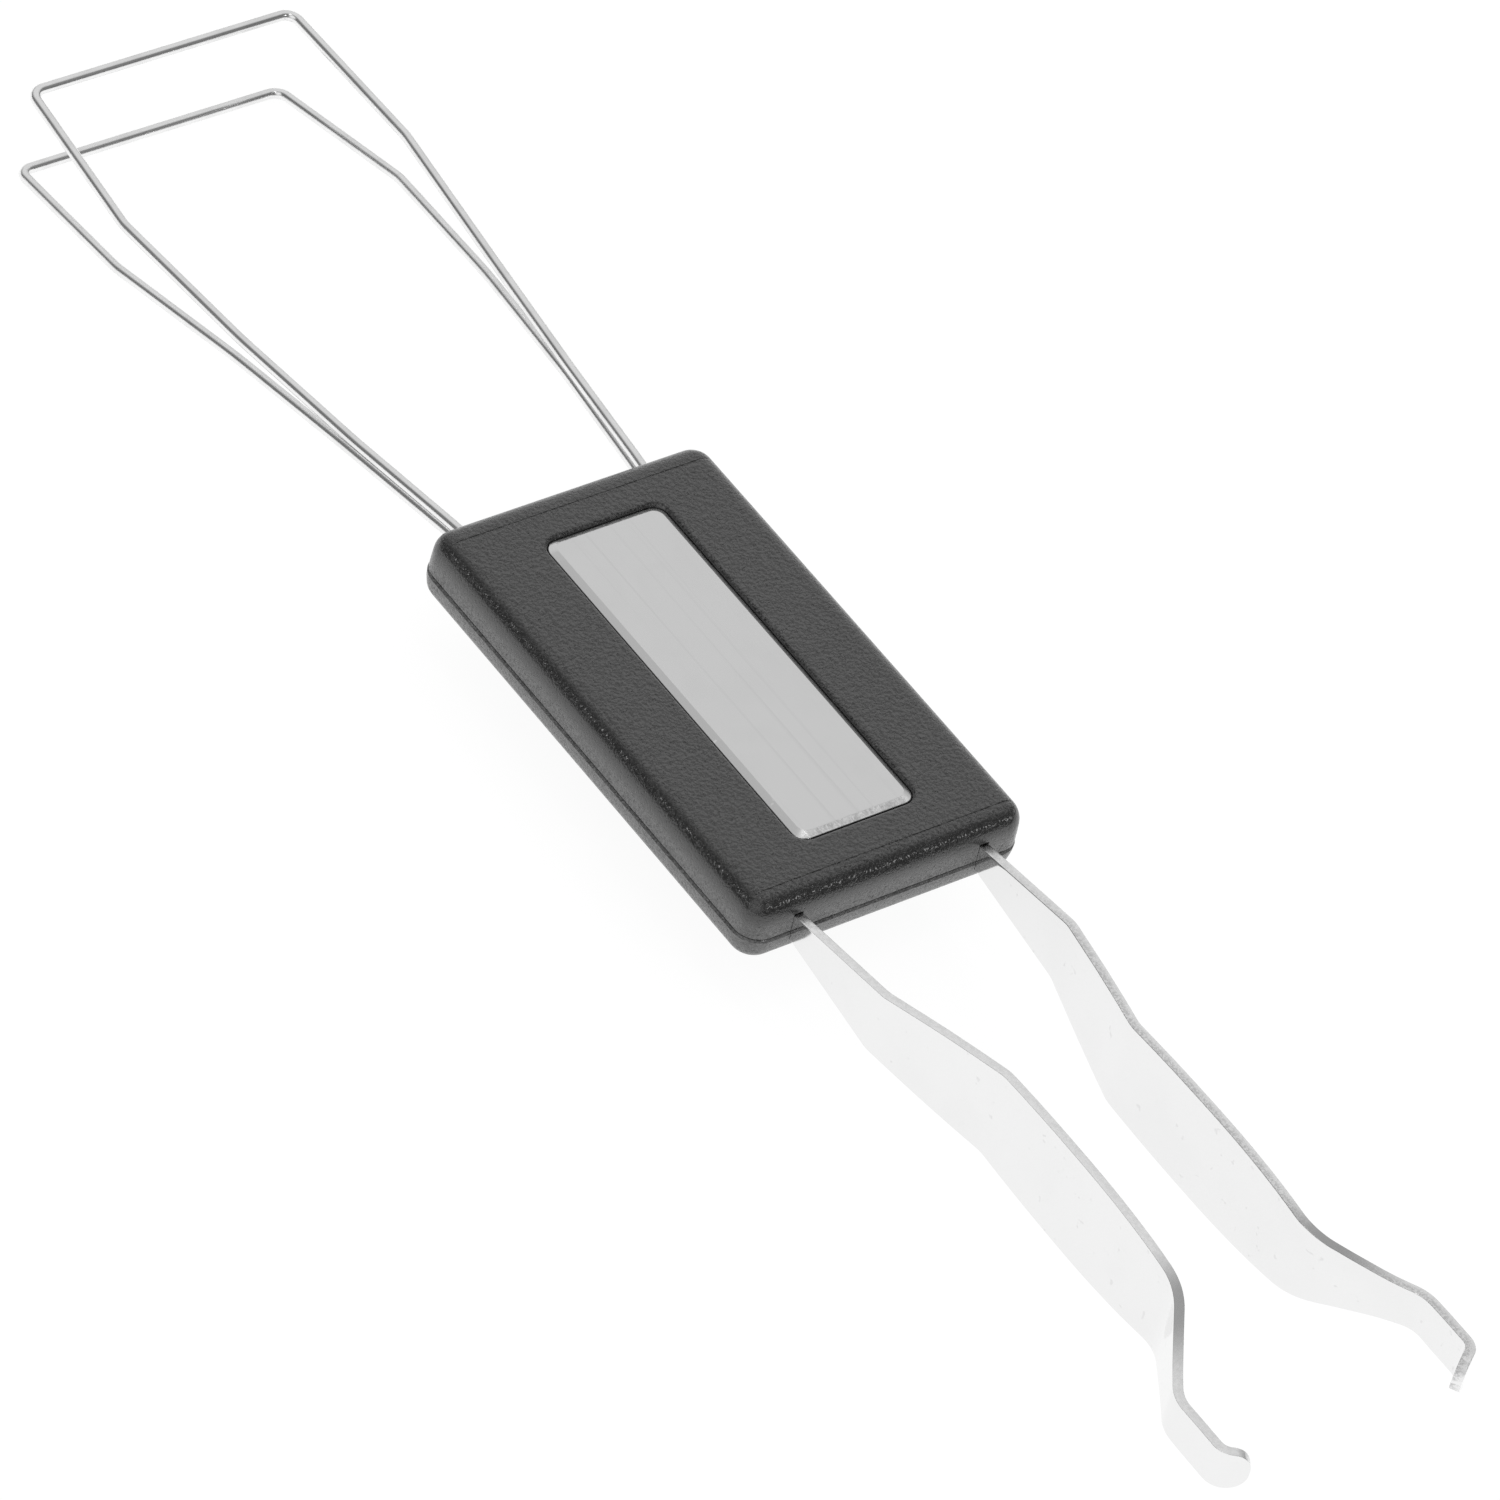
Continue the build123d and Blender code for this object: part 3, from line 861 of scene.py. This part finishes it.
def wireLoop(name, node, level, bends):
    # A circle carried along the mirrored path, its columns at equal angles round the wire
    half = [wire[k] + (level,) for k in ("anchorTip", "anchor", "exit")] + bends
    bows = [wire["bowRadius"]] * (len(bends) - 2)
    radii = [wire["anchorRadius"], wire["exitRadius"]] + bows + [wire["kinkRadius"], wire["cornerRadius"]]
    path = mirroredPath(half, radii, wire["arcStep"])
    angle = np.arange(wire["sides"]) * 2 * math.pi / wire["sides"]
    across = wire["radius"] * np.cos(angle)[None, :]
    above = wire["radius"] * np.sin(angle)[None, :]
    points, flow = carryProfile(path, alongPath(path), across, above)
    makePiece(name, points, closedFaces(*points.shape[:2]), node, wireSteel, flow=flow)


wireLoop("upperLoop", "upper_loop", wire["upperLevel"], wire["upperBends"])
wireLoop("lowerLoop", "lower_loop", wire["lowerLevel"], wire["lowerBends"])


# Switch spring: a flat strip on edge, flared, pinched into a grip and hooked at both ends

strip = {
    "thickness": 0.75,
    "level": 0.46,
    "edgeRound": 0.06,
    "edgeSteps": 4,
    "stationGap": 0.5,
    "tipStations": (0.004, 0.03, 0.1, 0.2, 0.35, 0.55, 0.8, 1.1),
    "arcStep": 5.0,
    "bridge": (8.05, 4.0),
    "shoulder": (8.05, -30.3),
    "gripNear": (5.5, -40.7),
    "gripFar": (5.68, -60.96),
    "jaw": (10.73, -67.99),
    "hookCorner": (10.74, -73.06),
    "hookAngle": 57.9,
    "hookLength": 2.12,
    "hookRound": 1.4,
    "rootWidth": 2.0,
    "flareStart": 20.0,
    "flareAt": [30.0, 36.0, 42.0, 48.0, 54.0, 58.0, 61.0, 64.0, 66.0, 68.5, 70.0],
    "flareWidth": [5.22, 6.75, 7.72, 8.1, 7.91, 7.16, 6.1, 4.53, 3.62, 3.25, 3.3],
    "bendRadii": [1.25, 3.0, 5.3, 3.25, 3.1, 2.5],  # hook, jaw, far grip, near grip, shoulder, bridge
}


def springWidth(y, fromTip):
    # Width of the strip: level root, straight flare, belly curve, level hook with a rounded tongue
    distance = -y
    root = strip["rootWidth"]
    flareStart = strip["flareStart"]
    flareEnd = strip["flareAt"][0]
    flareShare = (distance - flareStart) / (flareEnd - flareStart)
    flare = root + (strip["flareWidth"][0] - root) * flareShare
    belly = smoothThrough(distance, strip["flareAt"], strip["flareWidth"])
    width = np.where(distance < flareStart, root, np.where(distance < flareEnd, flare, belly))
    curl = np.clip(strip["hookRound"] - fromTip, 0, strip["hookRound"])
    return width - 2 * (strip["hookRound"] - np.sqrt(strip["hookRound"] ** 2 - curl**2))


turn = math.radians(strip["hookAngle"])
hookTip = (
    strip["hookCorner"][0] - strip["hookLength"] * math.sin(turn),
    strip["hookCorner"][1] - strip["hookLength"] * math.cos(turn),
)
blade = [hookTip] + [strip[k] for k in ("hookCorner", "jaw", "gripFar", "gripNear", "shoulder", "bridge")]
bladePath = [(x, y, strip["level"]) for x, y in blade]
springPath = mirroredPath(bladePath, strip["bendRadii"], strip["arcStep"])
# Stations at the bends, at even gaps and close together at the tips
length = alongPath(springPath)
nearTip = np.array(strip["tipStations"])
evenGaps = np.arange(0, length[-1], strip["stationGap"])
stations = np.unique(np.round(np.concatenate([length, evenGaps, nearTip, length[-1] - nearTip]), 4))
springPath = np.stack([np.interp(stations, length, springPath[:, k]) for k in range(3)], axis=-1)
fromTip = np.minimum(stations, stations[-1] - stations)
columns = roundedColumns([-0.5, 0.5], [-0.5, 0.5], [-0.9, -0.5, 0.0, 0.5, 0.9], strip["edgeSteps"])
across, above = ringGrid(
    columns,
    np.full(len(stations), strip["thickness"] / 2),
    springWidth(springPath[:, 1], fromTip) / 2,
    np.full(len(stations), strip["edgeRound"]),
)
points, flow = carryProfile(springPath, stations, across, above)
edge = np.broadcast_to(np.abs(np.sin(columns[2]))[None, :], across.shape)
faces = closedFaces(*across.shape)
makePiece("switchSpring", points, faces, "switch_spring", stripSteel, flow=flow, edge=edge)


# Camera at the photograph's angle

shot = {
    "azimuth": -46.251,
    "elevation": 43.376,
    "roll": 15.75,
    "distance": 715.8,
    "aimRight": 2.105,
    "aimUp": -3.362,
    "focalPixels": 10232.2,
    "imagePixels": 1500.0,
    "sensor": 36.0,
    "clipStart": 0.01,
}
azimuth, elevation, rollTurn = (math.radians(shot[k]) for k in ("azimuth", "elevation", "roll"))
towards = Vector(
    (
        math.sin(azimuth) * math.cos(elevation),
        -math.cos(azimuth) * math.cos(elevation),
        math.sin(elevation),
    )
)
level = Vector((math.cos(azimuth), math.sin(azimuth), 0))
upright = towards.cross(level)
right = level * math.cos(rollTurn) + upright * math.sin(rollTurn)
upward = upright * math.cos(rollTurn) - level * math.sin(rollTurn)
eye = right * shot["aimRight"] + upward * shot["aimUp"] + towards * shot["distance"]
cameraData = bpy.data.cameras.new("camera")
cameraData.sensor_fit = "HORIZONTAL"
cameraData.sensor_width = shot["sensor"]
cameraData.lens = shot["focalPixels"] / shot["imagePixels"] * shot["sensor"]
cameraData.clip_start = shot["clipStart"]
camera = bpy.data.objects.new("camera", cameraData)
axes = Matrix((right, upward, towards)).transposed().to_4x4()
camera.matrix_world = Matrix.Translation(eye * mm + Vector(handleOrigin)) @ axes
bpy.context.scene.collection.objects.link(camera)
bpy.context.scene.camera = camera


# Floor and light: white paper below, a broad soft window behind and above, a pale wall near the camera,
# a dim room and two small lamps

light = {
    "plain": 0.9,
    "room": 0.145,
    "window": 0.72,
    "windowDirection": (0.4, 0.52, 0.755),
    "windowInner": 0.86,
    "windowOuter": 0.5,
    "nearWall": 0.75,
    "nearWallDirection": (-0.72, -0.34, 0.57),
    "nearWallInner": 0.95,
    "nearWallOuter": 0.8,
    "floorReach": 6.0,
    "paper": 0.9,
    "paperGlow": 1.05,
    "paperShadow": 0.12,
    "lampDistance": 0.8,
    "lampDirection": (0.15, -0.73, 0.66),
    "lampSize": 0.06,
    "lampPower": 0.25,
    "glintDirection": (-0.13, -0.15, 0.98),
    "glintSize": 0.13,
    "glintPower": 0.22,
}
reach = light["floorReach"]
floorMesh = bpy.data.meshes.new("floor")
floorMesh.from_pydata(
    [(-reach, -reach, 0), (reach, -reach, 0), (reach, reach, 0), (-reach, reach, 0)], [], [(0, 1, 2, 3)]
)
floor = bpy.data.objects.new("floor", floorMesh)
bpy.context.scene.collection.objects.link(floor)
paper = bpy.data.materials.new("paper")
tree = emptyTree(paper)
rays = put(tree, "ShaderNodeLightPath").outputs
seen = mathNode(tree, "MAXIMUM", rays["Is Camera Ray"], rays["Is Glossy Ray"])
seen = mathNode(tree, "MAXIMUM", seen, rays["Is Transmission Ray"])
share = mathNode(tree, "MULTIPLY", seen, 1 - light["paperShadow"])
lit = put(tree, "ShaderNodeBsdfDiffuse", {"Color": grey(light["paper"])})
glow = put(tree, "ShaderNodeEmission", {"Color": grey(1.0), "Strength": light["paperGlow"]})
both = put(tree, "ShaderNodeMixShader", links={0: share, 1: lit.outputs[0], 2: glow.outputs[0]})
put(tree, "ShaderNodeOutputMaterial", links={0: both.outputs[0]})
floorMesh.materials.append(paper)

world = bpy.data.worlds.new("studio")
bpy.context.scene.world = world
tree = emptyTree(world)
rays = put(tree, "ShaderNodeLightPath").outputs
direction = put(tree, "ShaderNodeTexCoord").outputs["Generated"]


def paleSpot(name, dim, bright):
    # A soft round patch of the world, brightest towards its own direction
    middleAt = Vector(light[name + "Direction"]).normalized()
    facing = put(tree, "ShaderNodeVectorMath", {1: middleAt}, {0: direction}, operation="DOT_PRODUCT")
    fade = (light[name + "Outer"], light[name + "Inner"])
    return rangeNode(tree, facing.outputs["Value"], fade, (dim, bright))


window = paleSpot("window", light["room"], light["window"])
nearWall = paleSpot("nearWall", 0.0, light["nearWall"])
around = mathNode(tree, "ADD", window, nearWall)
plain = put(tree, "ShaderNodeBackground", {"Color": grey(1.0), "Strength": light["plain"]})
mirrored = put(tree, "ShaderNodeBackground", {"Color": grey(1.0)}, {"Strength": around})
white = put(tree, "ShaderNodeBackground", {"Color": grey(1.0), "Strength": 1.0})
reflect = put(
    tree,
    "ShaderNodeMixShader",
    links={0: rays["Is Glossy Ray"], 1: plain.outputs[0], 2: mirrored.outputs[0]},
)
backdrop = mathNode(tree, "MAXIMUM", rays["Is Camera Ray"], rays["Is Transmission Ray"])
seenWorld = put(tree, "ShaderNodeMixShader", links={0: backdrop, 1: reflect.outputs[0], 2: white.outputs[0]})
put(tree, "ShaderNodeOutputWorld", links={0: seenWorld.outputs[0]})

for name in ("lamp", "glint"):
    lampData = bpy.data.lights.new(name, "AREA")
    lampData.shape = "DISK"
    lampData.size = light[name + "Size"]
    lampData.energy = light[name + "Power"]
    lamp = bpy.data.objects.new(name, lampData)
    lampAt = Vector(light[name + "Direction"]).normalized()
    lamp.location = Vector(handleOrigin) + lampAt * light["lampDistance"]
    lamp.rotation_euler = lampAt.to_track_quat("Z", "Y").to_euler()
    bpy.context.scene.collection.objects.link(lamp)

bpy.context.scene.view_settings.view_transform = "Standard"
print("camera, floor and light ready")
